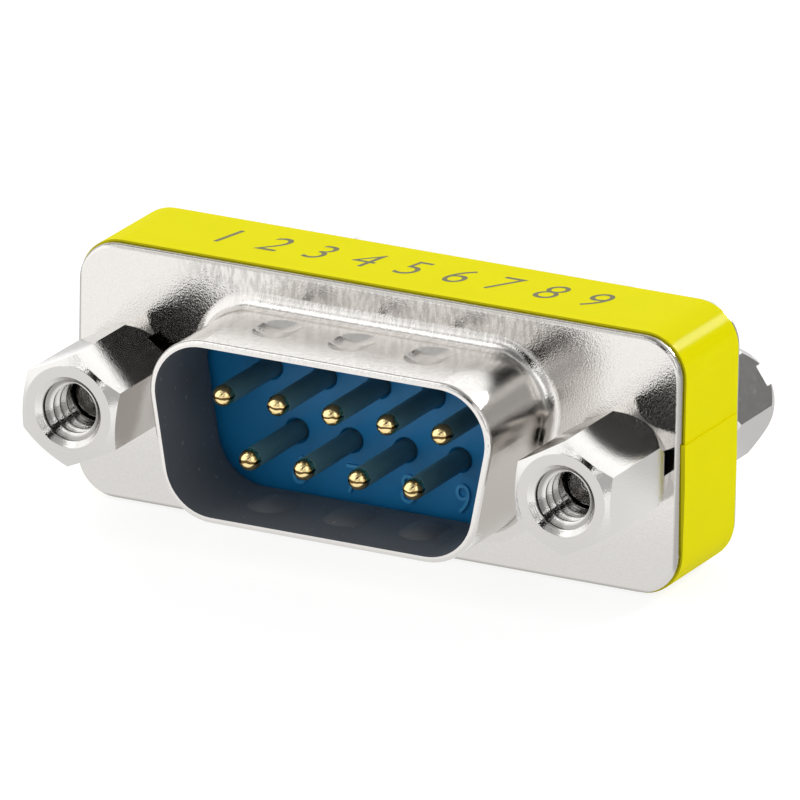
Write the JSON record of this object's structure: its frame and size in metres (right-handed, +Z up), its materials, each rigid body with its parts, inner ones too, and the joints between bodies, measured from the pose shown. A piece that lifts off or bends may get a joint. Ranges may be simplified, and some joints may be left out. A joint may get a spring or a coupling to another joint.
{
  "type": "d-sub gender changer",
  "caption": "Short D-subminiature adapter that joins two sockets: a male plug with screw-lock nuts on each end of a flat metal housing with a yellow wrap label.",
  "frame": {"origin": "under the middle of the housing, on the flat label face that it stands on", "axes": "+X to the right seen from the front plug, +Y from the front plug to the rear plug, +Z up, with the wide row of pins on top"},
  "size_m": [0.0309, 0.0182, 0.0125],
  "materials": {
    "nickel_shell": "nickel plated over drawn steel, slightly grained",
    "nickel_hardware": "nickel plated, turned hexagon bar",
    "gold_pin": "gold flash over brass",
    "blue_insulator": "moulded glass-filled polyester, satin",
    "board": "glass-epoxy board with solder mask",
    "yellow_label": "satin vinyl film"
  },
  "bodies": {
    "root": {"front_shell": "nickel_shell", "front_spigot": "nickel_shell", "front_insulator": "blue_insulator", "front_pin_1": "gold_pin", "front_pin_2": "gold_pin", "front_pin_3": "gold_pin", "front_pin_4": "gold_pin", "front_pin_5": "gold_pin", "front_pin_6": "gold_pin", "front_pin_7": "gold_pin", "front_pin_8": "gold_pin", "front_pin_9": "gold_pin", "rear_shell": "nickel_shell", "rear_spigot": "nickel_shell", "rear_insulator": "blue_insulator", "rear_pin_1": "gold_pin", "rear_pin_2": "gold_pin", "rear_pin_3": "gold_pin", "rear_pin_4": "gold_pin", "rear_pin_5": "gold_pin", "rear_pin_6": "gold_pin", "rear_pin_7": "gold_pin", "rear_pin_8": "gold_pin", "rear_pin_9": "gold_pin", "circuit_board": "board", "wrap_label": "yellow_label", "left_jack_nut": "nickel_hardware", "left_jack_bolt": "nickel_hardware", "right_jack_nut": "nickel_hardware", "right_jack_bolt": "nickel_hardware"}
  },
  "joints": []
}
